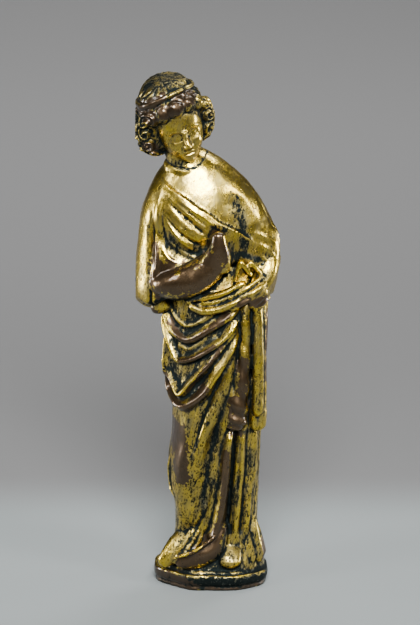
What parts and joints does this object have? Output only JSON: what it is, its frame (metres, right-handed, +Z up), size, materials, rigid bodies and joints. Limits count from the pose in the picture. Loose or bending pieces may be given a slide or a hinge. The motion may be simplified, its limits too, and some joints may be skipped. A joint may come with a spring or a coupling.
{
  "type": "angel figure",
  "caption": "Small standing robed figure in gilt copper on a low oval base: head inclined, one arm across the breast, the other hand gathering the mantle into looped folds.",
  "frame": {"origin": "on the flat underside of the base, below the middle of the figure's bounding box", "axes": "+Z up along the figure, -Y the way the breast faces, +X to the right of someone looking at the face"},
  "size_m": [0.0252, 0.0183, 0.0911],
  "materials": {
    "gilt_copper": "worn bright gilding over cast copper, with bare brown copper patches and dark recesses"
  },
  "bodies": {
    "root": {"angel_figure": "gilt_copper"}
  },
  "joints": []
}
